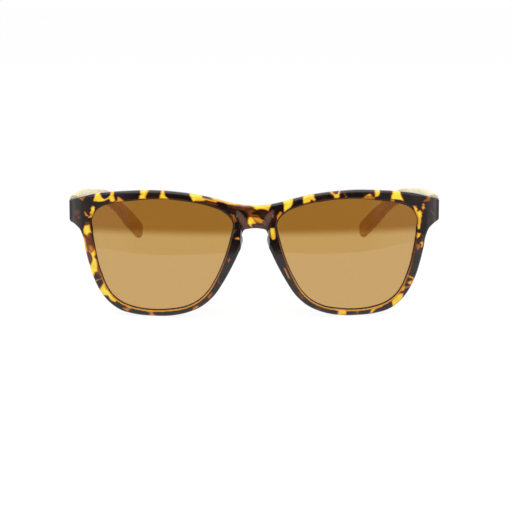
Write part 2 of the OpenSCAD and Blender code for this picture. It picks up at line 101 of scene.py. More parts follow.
# Patches of the tortoiseshell on the front face, laid one over another: how light a patch
# is, from 0 black to 1 yellow, then its corners
leftPatches = [
    (0.4, [(-67.9, 32.4), (-64.2, 33), (-62.6, 26), (-61.6, 20), (-60, 14.5), (-62.9, 16.5),
        (-65.8, 21.5), (-67.4, 28)]),
    (0.62, [(-69.2, 46.2), (-67.4, 46.7), (-66, 47.7), (-66.6, 46), (-67.2, 44.8),
        (-68.2, 45.5)]),
    (0.97, [(-62.4, 49.9), (-60.6, 49.9), (-60.3, 47.8), (-59.4, 46.7), (-58.4, 46.3),
        (-57.3, 46.7), (-56.5, 47.7), (-56.1, 50.4), (-54.8, 50.4), (-54.7, 47.5), (-54.2, 45.5),
        (-55.2, 45), (-56.2, 45), (-56.9, 46.1), (-57.7, 45.8), (-58.7, 45.3), (-59.3, 45.1),
        (-61.2, 44.8), (-63.2, 45.1), (-62.6, 46.9)]),
    (0.76, [(-53.7, 45.5), (-53.6, 46.6), (-53.2, 47.3), (-52.3, 46.8), (-51.6, 46.3),
        (-50.1, 45.1), (-54.6, 44.5), (-56, 44.4)]),
    (0.92, [(-63.6, 43.6), (-62.3, 42.9), (-62.6, 41.4), (-63.2, 39.9), (-63.8, 38.6),
        (-65.2, 38.5), (-65.3, 38.9), (-64.5, 39.6), (-64.5, 41.1), (-64.2, 42.6)]),
    (0.6, [(-64, 41.5), (-63.7, 41.4), (-63.9, 39.1), (-64.2, 39.3)]),
    (0.8, [(-67.1, 40.9), (-66.2, 41), (-65.7, 40), (-65.1, 39.6), (-65.4, 39.2), (-66.5, 39.3),
        (-66.7, 40)]),
    (0.72, [(-69.6, 38.9), (-68.3, 38.9), (-69.1, 38.1)]),
    (0.33, [(-71.2, 41.1), (-69.7, 42.1), (-68.7, 41.5), (-68.5, 40), (-69.8, 39.2),
        (-71.2, 39.5)]),
    (0.47, [(-66.5, 37.5), (-65.5, 37), (-64.5, 37.4), (-64.3, 36.3), (-65.3, 36),
        (-66.8, 35.7)]),
    (0.88, [(-66.9, 35.6), (-64.6, 36.1), (-64.4, 34.6), (-64, 32.6), (-64.7, 32.8),
        (-65.3, 32.3), (-65.7, 31.2), (-66.1, 31.7), (-67.3, 32.2), (-67.4, 33.7)]),
    (0.78, [(-67.8, 31.7), (-66.7, 31), (-66.4, 29.2), (-66, 27), (-65.5, 24.7), (-65.9, 23.4),
        (-67.2, 25.9), (-67.8, 28.4)]),
    (0.95, [(-64.7, 27.3), (-63.5, 27.1), (-62.8, 26.1), (-62.5, 24.1), (-63.2, 23.2),
        (-62.6, 22.7), (-62.1, 21.6), (-61.9, 19.8), (-62, 18.3), (-61.8, 17.4), (-62.9, 16.9),
        (-63.6, 15.1), (-65, 17.6), (-65.5, 20.7), (-64, 21.2), (-64, 22.8), (-64.3, 24),
        (-65.2, 25.3)]),
    (0.62, [(-65.4, 28), (-63.4, 27.8), (-63.1, 26), (-64.2, 24.7), (-65.2, 25.9)]),
    (0.38, [(-66.2, 25), (-64.7, 24.5), (-64, 22.8), (-64, 21.5), (-64.6, 19.9), (-65.7, 21.5)]),
    (0.72, [(-63.3, 13.8), (-60.4, 15), (-59.8, 15), (-60.6, 14.3), (-62.7, 13.1)]),
    (0.93, [(-59.7, 13.1), (-59.1, 12.7), (-58.4, 10.4), (-57.1, 9.2), (-55.4, 6.9), (-54.5, 5.6),
        (-55.2, 5), (-56.7, 5.6), (-57.5, 6.5), (-58.2, 7.8), (-60, 7.7), (-61.6, 10),
        (-60.7, 11.6)]),
    (0.64, [(-51.1, 4.8), (-49.6, 4.2), (-47.8, 3), (-49.1, 2.4), (-50.1, 0.8), (-51.4, 2.1),
        (-52.7, 3.1), (-50.9, 3.2)]),
    (0.64, [(-43.5, 2.6), (-39.9, 2.2), (-39.9, 1.3), (-38, -0.3), (-42.7, -0.4), (-41.5, 1.3),
        (-42.9, 1.8)]),
    (0.7, [(-24.4, 3.9), (-22.3, 5), (-21.8, 4.5), (-22.6, 3.6), (-25.1, 2.3)]),
    (0.27, [(-22.3, 5.6), (-19.2, 7.1), (-18.4, 5.8), (-21.1, 4.1)]),
    (0.6, [(-18.6, 8.6), (-16.7, 10.1), (-16.2, 9.5), (-17.2, 8.2), (-18.1, 6.9)]),
    (0.4, [(-14.6, 15.4), (-13.8, 16.2), (-13.7, 14.4), (-12.7, 13.1), (-13.8, 13.1),
        (-14.9, 14.3)]),
    (0.64, [(-10.3, 23.8), (-9.5, 23.8), (-10.2, 21.9), (-10.8, 22.1)]),
    (0.74, [(-8.3, 31.4), (-6.4, 32.1), (-5.8, 31.7), (-5.9, 30.8), (-7.3, 30.9)]),
    (0.42, [(-7.8, 34.9), (-6.7, 35.2), (-7.6, 33.4), (-8.4, 32.6), (-8.3, 34)]),
    (0.52, [(-10, 41), (-7.6, 40.7), (-6.7, 38), (-8.1, 37.4), (-9, 39.4)]),
    (0.97, [(-44.8, 50.6), (-40.3, 50.7), (-41.5, 48.7), (-42.2, 47.5), (-42.3, 46.2),
        (-44.8, 46.3), (-44.9, 47.4), (-44.3, 48.1), (-44.8, 48.9)]),
    (0.18, [(-40.2, 49.9), (-36.9, 49.9), (-37.1, 46.9), (-42, 46.8)]),
    (0.97, [(-36.4, 50.5), (-35.1, 50.5), (-34.7, 48.1), (-33.8, 47), (-32.4, 46), (-37.4, 46.1),
        (-36.7, 48.1)]),
    (0.94, [(-26, 49.7), (-22.6, 49.3), (-20.1, 47.8), (-19.2, 47), (-15.8, 46.2), (-14.4, 45.9),
        (-14.9, 45.1), (-18.9, 46.1), (-19.8, 45.8), (-23.2, 45.7), (-24.1, 45.3),
        (-24.7, 47.1)]),
    (0.3, [(-20.6, 48.1), (-18.6, 47.4), (-20, 47.1)]),
    (0.44, [(-21.2, 45.6), (-18.9, 45.9), (-15, 45.1), (-14.4, 43.8), (-17.3, 44.5)]),
    (0.5, [(-11.9, 45.7), (-11, 45.4), (-9.4, 43.2), (-10, 43)]),
]
bridgePatches = [
    (0.4, [(-10.4, 44.8), (-6.5, 44.1), (-1.9, 43.8), (-0.4, 42.9), (0.6, 41.7), (-0.8, 40.9),
        (-1.9, 39.9), (-2.8, 39.6), (-3, 40.9), (-4.2, 42), (-6.4, 42.6), (-8.9, 43)]),
    (0.9, [(-18.6, 48), (-14.4, 47.1), (-10.1, 45.8), (-5.8, 45), (0.4, 45), (0.4, 43.6),
        (-5.8, 44), (-10.1, 44.5), (-12.9, 45.4), (-15.8, 46)]),
    (0.97, [(-1.7, 44.9), (2.1, 45), (6.9, 45.1), (5.6, 42.7), (5.2, 41.9), (4.2, 42.4),
        (2.7, 42.7), (1.5, 42.7), (0.5, 42.3), (-0.3, 43), (-1.2, 43.6)]),
    (0.24, [(0.5, 41.9), (1.5, 42.4), (2.7, 42.4), (4.2, 42.2), (5.2, 41.7), (5.9, 41.5),
        (4.5, 39.6), (3.4, 38.7), (2.5, 39.3), (1.8, 40), (1.1, 41.1)]),
    (0, [(-6.2, 42.3), (-5, 42), (-3.8, 41.5), (-3.1, 40.6), (-3.2, 39.4), (-3.8, 39.4),
        (-5, 40.6), (-6.2, 41.5)]),
    (0.62, [(-1.6, 40.8), (1.3, 40.8), (2.3, 39.4), (-1.5, 39.6)]),
    (0.3, [(-1, 40.4), (1.1, 40.4), (1.4, 40), (-0.9, 40)]),
    (0.08, [(-0.9, 41.5), (1, 41.4), (1.5, 40.8), (-0.7, 41)]),
    (0.77, [(-1.4, 39.8), (1.5, 39.6), (2.4, 39), (3.6, 38.4), (4.3, 37.8), (3.8, 37.1),
        (2.7, 37.2), (0.6, 37.3), (-0.4, 38.7)]),
    (1, [(-2.5, 39.9), (-1.4, 39.8), (-0.5, 38.9), (0.5, 37.5), (0.3, 37), (-0.9, 37.1),
        (-1.4, 36.7), (-0.8, 35.7), (-2.1, 36.2), (-2.8, 37.5), (-2.7, 38.7)]),
    (0.45, [(2.7, 38.1), (4.3, 38.4), (4.5, 37.2), (5, 36.2), (5.5, 35.4), (3.6, 36),
        (3, 37.1)]),
    (0.37, [(-7.4, 42.7), (-6.4, 42.3), (-4.9, 41), (-3.7, 39.4), (-2.8, 37.6), (-2.3, 36.3),
        (-0.9, 35.6), (-4.4, 34.6), (-5.4, 35.2), (-5.8, 36.6), (-6.9, 39.8)]),
    (0.36, [(7.4, 42.7), (6.9, 39.8), (5.8, 36.6), (5.4, 35.2), (4.6, 35), (4.6, 37),
        (4.3, 38.2), (3.8, 39.4), (4.9, 41), (6.4, 42.3)]),
    (0.34, [(-0.6, 36.9), (3, 36.8), (3.6, 36), (4.4, 34.8), (-0.9, 35)]),
    (0.52, [(-7.2, 42), (-6.6, 40.2), (-5.9, 37.9), (-5.4, 38.1), (-6, 39.9), (-6.6, 41.8)]),
]
rightPatches = [
    (0.72, [(9.2, 41.9), (10.2, 41.9), (10.6, 41.6), (9.6, 40.1), (8.8, 38.9), (8.3, 38.7),
        (8.4, 40.4)]),
    (0.87, [(5.8, 35.6), (7.7, 35.4), (8, 33.8), (8.1, 31.7), (7.4, 30.9), (6.5, 30.9), (6, 32.3),
        (5.8, 34.2)]),
    (0.94, [(10.6, 46.2), (15, 47.6), (14.5, 44.5), (13.8, 43.3), (12.6, 42.5), (11.1, 41.6),
        (11, 43.6)]),
    (0.95, [(18.5, 48.5), (22.9, 49.4), (23.2, 46.9), (23.8, 46.1), (22.7, 45.6), (21.8, 46),
        (21.2, 45.1), (18.6, 44.6), (18.5, 45.9)]),
    (0.52, [(18.6, 44.8), (21.2, 45.4), (23.6, 46), (24.5, 45), (21.6, 44.5), (18.7, 43.9)]),
    (0.08, [(21.7, 46.1), (22.6, 45), (21.4, 44.9)]),
    (0.93, [(27.6, 49.9), (29.9, 49.9), (30.9, 48.5), (32.1, 48.7), (32.9, 50.6), (33.4, 50.6),
        (32.9, 47), (32.4, 46.6), (30.7, 46.6), (30.1, 47.7), (29.2, 48.5)]),
    (0.52, [(30.6, 46.8), (32.9, 46.8), (32.7, 45.6), (30.8, 45.6)]),
    (0.8, [(33.9, 50.4), (34.5, 50.4), (34.9, 48.2), (36, 46.7), (35.3, 46.8), (34.4, 48.3)]),
    (0.62, [(40.2, 46.1), (42.1, 47), (42.4, 47.5), (43.7, 47.9), (44.9, 48.2), (45.7, 47.4),
        (46.8, 46.9), (46.9, 45.5), (40.4, 45.5)]),
    (0.85, [(42.4, 47.4), (43.7, 47.9), (44.9, 48.2), (45.6, 47.4), (45.1, 47.1)]),
    (0.96, [(46.5, 50.4), (48.8, 50.3), (48.6, 47.6), (48.1, 47), (46.8, 46.8), (46.5, 47.9)]),
    (0.97, [(53.5, 50.2), (56.5, 50), (57.5, 46.9), (58.6, 44.4), (57.2, 45.4), (54.8, 45.7),
        (53, 45.8), (53.2, 47.2), (53.7, 48)]),
    (0.66, [(52.6, 45.9), (54.5, 45.8), (54.7, 44.5), (52.7, 44.6)]),
    (0.5, [(59.5, 49.3), (61.5, 48.9), (61.2, 47.8), (60.2, 48.1)]),
    (0.18, [(61.2, 47.5), (65.3, 46.8), (65.5, 44.5), (61.6, 45)]),
    (0.52, [(65.8, 44.6), (67.3, 45.8), (67.9, 47.5), (69.5, 47.3), (69.4, 45.2), (68.6, 44.5),
        (66.8, 44.3)]),
    (0.86, [(65.8, 44.1), (66.8, 43.8), (66.9, 42), (66.5, 41.1), (65.4, 42.1), (65.8, 43.1)]),
    (0.92, [(61.7, 43.2), (63.3, 43.2), (64, 42.1), (64.1, 40.8), (65.2, 41.5), (65.9, 40.5),
        (65.9, 38.7), (65.5, 37.5), (65.3, 35.4), (65.4, 34.1), (64.3, 33.4), (63.9, 35.5),
        (63.7, 38), (63, 40.6), (62.2, 42.2)]),
    (0.9, [(63.8, 32.5), (65.5, 32.3), (65.4, 31), (64, 30), (63.6, 30.9)]),
    (0.43, [(65.5, 31.8), (66.7, 31.8), (66.6, 30.2), (66.2, 28.9), (65.4, 29), (65.8, 30.8)]),
    (0.56, [(63.5, 28), (65.4, 28.2), (65.6, 26.6), (64.4, 25.3), (63.5, 26.2)]),
    (0.97, [(64.9, 28.7), (66.5, 28.9), (66.3, 26.7), (65.5, 26.5), (65.7, 27.6)]),
    (0.5, [(69.1, 42), (70.6, 40.4), (71.1, 39), (70, 39.4), (69.4, 40.6)]),
    (0.42, [(68.3, 38.6), (68.9, 37.3), (68.6, 35.5), (68.2, 35.6)]),
    (0.82, [(60, 15.7), (60.9, 15.5), (63.1, 14.8), (63.6, 13.8), (62.3, 14.1), (60.3, 14.9)]),
    (0.86, [(60, 12.7), (62.4, 13.7), (62.1, 11.8), (61.6, 11.3)]),
    (0.72, [(62.4, 13.9), (63.6, 13.9), (62.7, 11.3), (61.6, 11.3)]),
    (0.66, [(57.5, 10.2), (58.9, 11.8), (59.7, 11.1), (62.1, 11.5), (61.5, 10.3), (59.5, 10.1),
        (59, 9), (57.8, 9)]),
    (0.87, [(56.2, 7.8), (57.6, 8.4), (58.9, 8.3), (58.5, 6.2), (56.8, 4.2), (54.7, 2.9),
        (54, 5.3), (55.3, 6.9)]),
    (0.82, [(50.9, 4.3), (50.4, 3.2), (49.1, 2.8), (47.8, 2), (46, 0.5), (45.3, 1.1), (45.9, 2.5),
        (48, 3)]),
    (0.5, [(39.8, 2.4), (41.1, 2.2), (40.7, -0.4), (40, -0.4)]),
    (0.9, [(30.2, 3.3), (36.2, 2.3), (36, -0.5), (32.1, -0.4), (32.6, 2)]),
    (0.78, [(11.1, 20.4), (12, 19.6), (13, 17), (14.1, 14.8), (12.9, 15.9), (11.8, 18.1),
        (11.3, 19.3)]),
    (0.38, [(15.9, 10.6), (17.9, 10.1), (19.4, 8), (19.2, 6.6), (17.6, 7.9)]),
    (0.45, [(23.3, 4.4), (26.3, 3.2), (24.9, 2.1)]),
]


def smooth(t):
    t = np.clip(t, 0, 1)
    return t * t * (3 - 2 * t)


def between(value, low, high):
    return smooth((value - low) / (high - low))


def length(vectors):
    return np.linalg.norm(vectors, axis=-1, keepdims=True)


def slope(a, b, c):
    before, after = np.linalg.norm(b - a), np.linalg.norm(c - b)
    return ((c - b) / after * before + (b - a) / before * after) / (before + after)


def curve(a, b, c, d, t):
    span = np.linalg.norm(c - b)
    start, end = slope(a, b, c) * span, slope(b, c, d) * span
    return ((2 * t**3 - 3 * t**2 + 1) * b + (t**3 - 2 * t**2 + t) * start
            + (3 * t**2 - 2 * t**3) * c + (t**3 - t**2) * end)


def frontLoops(steps):
    rim = np.array(rimPoints, float)
    inner = np.vstack([rim[:, :2], np.array(nasalPoints)[:, :2]])
    edge = rim[:, 2:]
    mirrored = edge * (-1, 1)
    ahead = np.vstack([mirrored[1:2], edge, mirrored[-2:-3:-1]])   # carries on past the middle
    middle = [edge[-1, 1], *[row[2] for row in nasalPoints], edge[0, 1]]
    innerOut, outerOut = [], []
    count = len(inner)
    for i in range(count):
        for step in range(steps):
            t = step / steps
            innerOut.append(curve(inner[i - 1], inner[i], inner[(i + 1) % count],
                                  inner[(i + 2) % count], t))
            if i < len(rim) - 1:
                outerOut.append(curve(ahead[i], ahead[i + 1], ahead[i + 2],
                                      ahead[min(i + 3, len(ahead) - 1)], t))
            else:
                k = i - len(rim) + 1
                outerOut.append(np.array([0, middle[k] + (middle[k + 1] - middle[k]) * t]))
    return np.array(innerOut), np.array(outerOut), (len(rim) - 1) * steps


def outward(points):
    along = np.roll(points, -1, axis=0) - np.roll(points, 1, axis=0)
    return np.column_stack([-along[:, 1], along[:, 0]]) / length(along)


def shellY(p, depth):
    size = frontSizes
    return size["radius"] - np.sqrt((size["radius"] - depth)**2 - p[:, 0]**2
                                    - (p[:, 1] - size["curveHeight"])**2)


def skinY(p):
    size = frontSizes
    side = size["sideRadius"]
    x = np.maximum(0, np.minimum(p[:, 0], size["halfWidth"] - size["edgeRadius"])
                   - size["halfWidth"] + side)
    return shellY(p, 0) + side - np.sqrt(side**2 - x**2)


def frontY(p):
    # the front face with the cut below the bridge, which ends at a ridge on either side
    across, low = zip(*saddleCut["top"])
    below = np.maximum(0, np.interp(p[:, 0], across, low) - p[:, 1])
    height, limit = zip(*saddleCut["side"])
    inside = np.interp(p[:, 1], height, limit) - p[:, 0]
    return skinY(p) + saddleCut["steepness"] * below * between(inside, -0.25, 0.25)


def softened(rows, radii, cuts=3):
    # rounds the corners of a section, given as one array of stations for each corner
    out = []
    for i, radius in enumerate(radii):
        point = rows[i]
        if radius == 0:
            out.append(point)
            continue
        before, after = rows[i - 1] - point, rows[(i + 1) % len(rows)] - point
        near, far = np.maximum(length(before), 1e-9), np.maximum(length(after), 1e-9)
        start = point + before / near * np.minimum(radius, 0.45 * near)
        end = point + after / far * np.minimum(radius, 0.45 * far)
        for t in np.linspace(0, 1, cuts + 1):
            out.append((1 - t)**2 * start + 2 * t * (1 - t) * point + t**2 * end)
    return out


def frontSections():
    size = frontSizes
    a, b, lastRim = frontLoops(size["steps"])
    ao, bo = outward(a), outward(b)
    index = np.arange(len(a))
    bo[0], bo[lastRim] = (0, 1), (0, -1)
    bo[index > lastRim] = 0
    closed = (index <= lastRim).astype(float)
    endShare = between(b[:, 0], *size["endAcross"]) * between(b[:, 1], *size["endUp"])
    bump = 1 - np.clip(np.abs(b[:, 1] - size["padHeight"]) / size["padHalf"], 0, 1)**2
    padShare = np.where(b[:, 0] > size["padReach"], 0, bump**2) * closed
    back = shellY(b, 0) + size["thickness"] + size["padDepth"] * padShare
    back = back + (size["endDepth"] - back) * endShare
    er = closed * (size["edgeRadius"] + (size["endRadius"] - size["edgeRadius"]) * endShare)
    rr = closed * (size["rearRadius"] + (size["endRadius"] - size["rearRadius"]) * endShare)
    start, stop = a + ao * size["bevel"], b - bo * er[:, None]
    blockX = hingeSizes["pinX"] - hingeSizes["barrel"] - hingeSizes["shelfRoom"]
    shelf = np.clip((blockX - a[:, 0]) / np.maximum(b[:, 0] - a[:, 0], 1), 0.2, 0.75)
    g = 0.62 + (shelf - 0.62) * smooth(4 * endShare)
    g1 = a + (b - a) * (g - 0.22 + 0.12 * endShare)[:, None]
    g2 = a + (b - a) * g[:, None]
    raised = shellY(g2, 0) + back - shellY(b, 0)
    lensFront = lensSizes["setBack"] - lensSizes["play"]
    lensRear = lensSizes["setBack"] + lensSizes["thickness"] + lensSizes["play"]
    lip = a + ao * lensSizes["groove"]
    inward = a + ao * size["rearChamfer"]

    def flat(p, y):
        return np.column_stack([p[:, 0], y, p[:, 1]])

    rows = [(flat(a, shellY(a, lensFront)), 0.12)]
    for t in (0.25, 0.45, 0.7):
        p = a + (start - a) * t
        rows.append((flat(p, shellY(a, lensFront) * (1 - t) + frontY(start) * t), 0))
    rows.append((flat(start, frontY(start)), 0.3))
    for t in np.linspace(0.08, 0.92, 13):
        p = start + (stop - start) * t
        rows.append((flat(p, frontY(p)), 0))
    for t in np.radians(np.arange(0, 91, 15)):
        p = b - bo * (er * (1 - math.sin(t)))[:, None]
        rows.append((flat(p, frontY(p) + er * (1 - math.cos(t))), 0))
    for t in np.radians(np.arange(90, -1, -15)):
        p = b - bo * (rr * (1 - math.sin(t)))[:, None]
        rows.append((flat(p, back - rr * (1 - math.cos(t))), 0))
    rows.append((flat(g2, raised + (size["endDepth"] - raised) * endShare), 0.6))
    rows.append((flat(g1, shellY(g1, 0) + size["thickness"]), 0.6))
    rows.append((flat(inward, shellY(inward, 0) + size["thickness"]), 0.25))
    rows.append((flat(a, shellY(a, 0) + size["thickness"] - size["rearChamfer"]), 0.25))
    rows.append((flat(a, shellY(a, lensRear)), 0.1))
    rows.append((flat(lip, shellY(lip, lensRear)), 0))
    rows.append((flat(lip, shellY(lip, lensFront)), 0))
    return np.stack(softened([row[0] for row in rows], [row[1] for row in rows]), axis=1)


standing = (Matrix.Translation(pinPlace) @ Matrix.Rotation(-leanBack, 4, "X")
            @ Matrix.Scale(mm, 4) @ Matrix.Translation(
                (-hingeSizes["pinX"], -hingeSizes["pinY"], -hingeSizes["pinHeight"])))
mirror = Matrix.Diagonal((-1, 1, 1, 1))
atHinge = {1: standing @ Matrix.Translation(
    (hingeSizes["pinX"], hingeSizes["pinY"], hingeSizes["pinHeight"]))}
atHinge[-1] = mirror @ atHinge[1]
atTemple = {side: atHinge[side] @ Matrix.Rotation(toeIn, 4, "Z") for side in (1, -1)}


def addPiece(name, mesh, matrix=None, sharp=30):
    if matrix is not None:
        mesh.transform(matrix)
        if matrix.determinant() < 0:
            mesh.flip_normals()
    piece = bpy.data.objects.new(name, mesh)
    bpy.context.scene.collection.objects.link(piece)
    mesh.shade_smooth()
    mesh.set_sharp_from_angle(angle=math.radians(sharp))
    return piece


def cleaned(mesh, distance):
    work = bmesh.new()
    work.from_mesh(mesh)
    bmesh.ops.remove_doubles(work, verts=work.verts, dist=distance)
    bmesh.ops.dissolve_degenerate(work, edges=work.edges, dist=distance)
    bmesh.ops.recalc_face_normals(work, faces=work.faces)
    work.to_mesh(mesh)
    work.free()


def gridFaces(rows, columns, closedRows=True):
    faces = []
    for i in range(rows if closedRows else rows - 1):
        for k in range(columns):
            i2, k2 = (i + 1) % rows, (k + 1) % columns
            faces.append((i * columns + k, i * columns + k2, i2 * columns + k2, i2 * columns + k))
    return faces


def makeFront():
    sections = frontSections()
    stations, around = sections.shape[:2]
    half = sections.reshape(-1, 3)
    faces = [f for f in gridFaces(stations, around) if max(half[k][0] for k in f) > 0.001]
    points = np.vstack([half, half * (-1, 1, 1)])
    other = [tuple(k + len(half) for k in reversed(f)) for f in faces]
    mesh = bpy.data.meshes.new("frontShell")
    mesh.from_pydata(points.tolist(), [], faces + other)
    cleaned(mesh, 0.002)
    return mesh


def leafPocket(mesh):
    # the hinge leaves lie in pockets in the rear of the end pieces
    size = hingeSizes
    room, over = 0.04, 1.02  # play round a leaf, and how much deeper than it the cutter is
    body = bpy.data.objects.new("pocketWork", mesh)
    bpy.context.scene.collection.objects.link(body)
    for side in (1, -1):
        box = bmesh.new()
        bmesh.ops.create_cube(box, size=1)
        shape = Matrix.Translation((side * size["pinX"], size["pinY"], size["pinHeight"])) @ \
            Matrix.Translation((0, -size["barrel"] - size["gap"] - size["leaf"] / 2 + 0.5, 0)) @ \
            Matrix.Diagonal((2 * size["barrel"] + room, size["leaf"] + over,
                             size["stack"] + room, 1))
        box.transform(shape)
        tool = bpy.data.meshes.new("pocketTool")
        box.to_mesh(tool)
        box.free()
        cutter = bpy.data.objects.new("pocketTool", tool)
        bpy.context.scene.collection.objects.link(cutter)
        cut = body.modifiers.new("pocket", "BOOLEAN")
        cut.operation, cut.object, cut.solver = "DIFFERENCE", cutter, "MANIFOLD"
        bpy.context.view_layer.update()
        result = bpy.data.meshes.new_from_object(body.evaluated_get(
            bpy.context.evaluated_depsgraph_get()))
        body.modifiers.remove(cut)
        body.data = result
        bpy.data.objects.remove(cutter)
    done = body.data
    bpy.data.objects.remove(body)
    return done


def insidePatch(places, corners):
    # distance inwards from the edge of a patch, less than nothing outside it
    nearest = np.full(len(places), 1e9)
    crossed = np.zeros(len(places), bool)
    for start, end in zip(corners, corners[1:] + corners[:1]):
        (x0, y0), (x1, y1) = start, end
        along = np.array([x1 - x0, y1 - y0])
        away = places - (x0, y0)
        share = np.clip(away @ along / (along @ along), 0, 1)
        nearest = np.minimum(nearest, np.linalg.norm(away - share[:, None] * along, axis=1))
        if y0 != y1:
            spans = (places[:, 1] < y0) != (places[:, 1] < y1)
            edge = x0 + (places[:, 1] - y0) / (y1 - y0) * (x1 - x0)
            crossed ^= spans & (places[:, 0] < edge)
    return np.where(crossed, nearest, -nearest)


mottle = {"torn": 0.22, "tornSize": 2.2, "soft": 0.26, "core": 0.85, "edgeLoss": 0.3,
          "uneven": 0.2, "drift": 2.6, "black": 0.06, "cloudy": 0.22, "cloud": 4.5,
          "deepFrom": 2.4, "deepTo": 4.6, "deepCloud": 6.5, "deepDark": 0.08, "deepSpan": 0.9,
          "bevelPaintedLight": 0.66}


def markPatches(mesh):
    # stores at each vertex how light the tortoiseshell is there, with painted light on the lower
    # bevels and a painted shade line along the lens openings
    count = len(mesh.vertices)
    flat = np.empty(count * 3)
    mesh.vertices.foreach_get("co", flat)
    points = flat.reshape(-1, 3)
    cloud = np.array([noise.fractal(Vector(p) / mottle["cloud"], 1.0, 2.0, 3) for p in points])
    drift = np.array([noise.noise(Vector(p) / mottle["drift"]) for p in points])
    torn = np.array([noise.noise_vector(Vector(p) / mottle["tornSize"])[:] for p in points])
    places = points[:, (0, 2)] + mottle["torn"] * torn[:, (0, 2)]
    light = mottle["black"] + mottle["cloudy"] * np.clip(cloud, 0, 1)
    for tone, corners in leftPatches + bridgePatches + rightPatches:
        inside = insidePatch(places, corners)
        cover = between(inside, -mottle["soft"], mottle["soft"])
        core = between(inside, -mottle["soft"], mottle["core"])
        light += (tone * (1 - mottle["edgeLoss"] * (1 - core)) - light) * cover
    light *= 1 + mottle["uneven"] * np.clip(drift, -1, 1)
    deep = np.array([noise.fractal(Vector(p) / mottle["deepCloud"], 0.8, 2.0, 3)
                     for p in points])
    own = mottle["deepDark"] + mottle["deepSpan"] * between(deep, 0.05, 0.3)
    depth = points[:, 1] - shellY(np.abs(points[:, (0, 2)]), 0)
    light += (own - light) * between(depth, mottle["deepFrom"], mottle["deepTo"])
    # the bevel below each lens is thin, so that the light comes through it: that light is painted,
    # raising the tone of the lower bevel
    opening = [tuple(p) for p in frontLoops(2)[0]]
    gap = -insidePatch(np.abs(points[:, (0, 2)]), opening) / frontSizes["bevel"]
    bevel = between(gap, 1.3, 0.9) * between(gap, 0.2, 0.5)
    low = 0.6 * between(points[:, 2], 33, 28) + 0.4 * between(points[:, 2], 24, 8)
    light += (np.clip(light, mottle["bevelPaintedLight"] * low, 0.72) - light) * bevel
    # painted shade: a dark line along the edge of each lens opening, where the frame meets the
    # lens
    light *= 1 - 0.75 * between(gap, 0.4, 0.15)
    layer = mesh.attributes.new("lightness", "FLOAT", "POINT")
    layer.data.foreach_set("value", light)


def makeLens():
    inner, _, _ = frontLoops(frontSizes["steps"])
    outline = inner + outward(inner) * (lensSizes["groove"] - lensSizes["play"])
    centre = outline.mean(axis=0)
    rings = lensSizes["rings"]
    points, faces = [], []
    count = len(outline)
    for depth in (lensSizes["setBack"], lensSizes["setBack"] + lensSizes["thickness"]):
        for ring in range(rings):
            p = outline + (centre - outline) * ring / rings
            points.append(np.column_stack([p[:, 0], shellY(p, depth), p[:, 1]]))
        points.append(np.column_stack([centre[0], shellY(centre[None], depth), centre[1]]))
    layer = count * rings + 1
    for base, turned in ((0, False), (layer, True)):
        for ring in range(rings - 1):
            for i in range(count):
                j, low, high = (i + 1) % count, base + ring * count, base + (ring + 1) * count
                face = (low + i, low + j, high + j, high + i)
                faces.append(face[::-1] if turned else face)
        last = base + (rings - 1) * count
        for i in range(count):
            face = (last + i, last + (i + 1) % count, base + layer - 1)
            faces.append(face[::-1] if turned else face)
    faces += [(i, layer + i, layer + (i + 1) % count, (i + 1) % count) for i in range(count)]
    mesh = bpy.data.meshes.new("lens")
    mesh.from_pydata(np.vstack(points).tolist(), [], faces)
    cleaned(mesh, 0.0005)
    return mesh


def templeOutline(step=2.5):
    size = templeSizes

    def drop(s):
        share = np.clip(s / size["dropOver"], 0, 1)
        return math.radians(-size["riseStart"] + (size["dropEnd"] + size["riseStart"]) * share)

    def half(s):
        share = s / size["length"]
        slim, tipHeight = size["waistHeight"], size["tipHeight"]
        if share < size["waist"][1]:
            root = size["rootHeight"]
            return (root + (slim - root) * between(share, 0, size["waist"][0])) / 2
        return (slim + (tipHeight - slim) * between(share, size["waist"][1],
                                                    size["tipShare"])) / 2

    start, end = -5, size["length"] - size["tipRadius"]
    count = int((end - start) / step)
    rise = math.radians(size["riseStart"])
    line, places = [start * np.array([math.cos(rise), math.sin(rise)])], [start]
    for i in range(count):
        a = drop(places[-1] + step / 2)
        line.append(line[-1] + step * np.array([math.cos(a), -math.sin(a)]))
        places.append(places[-1] + step)
    above = [p + half(s) * np.array([math.sin(drop(s)), math.cos(drop(s))])
             for p, s in zip(line, places)]
    below = [p - half(s) * np.array([math.sin(drop(s)), math.cos(drop(s))])
             for p, s in zip(line, places)]
    a = math.radians(size["dropEnd"])
    along, up = np.array([math.cos(a), -math.sin(a)]), np.array([math.sin(a), math.cos(a)])
    middle = line[-1] + along * (end - places[-1])
    r, flatHalf = size["tipRadius"], half(end) - size["tipRadius"]
    tip = [middle + up * (flatHalf + r * math.sin(t)) + along * r * math.cos(t)
           for t in np.radians(np.arange(90, -1, -7.5))]
    tip += [middle + up * (r * math.sin(t) - flatHalf) + along * r * math.cos(t)
            for t in np.radians(np.arange(0, -91, -7.5))]
    return np.array(above + tip + below[::-1])


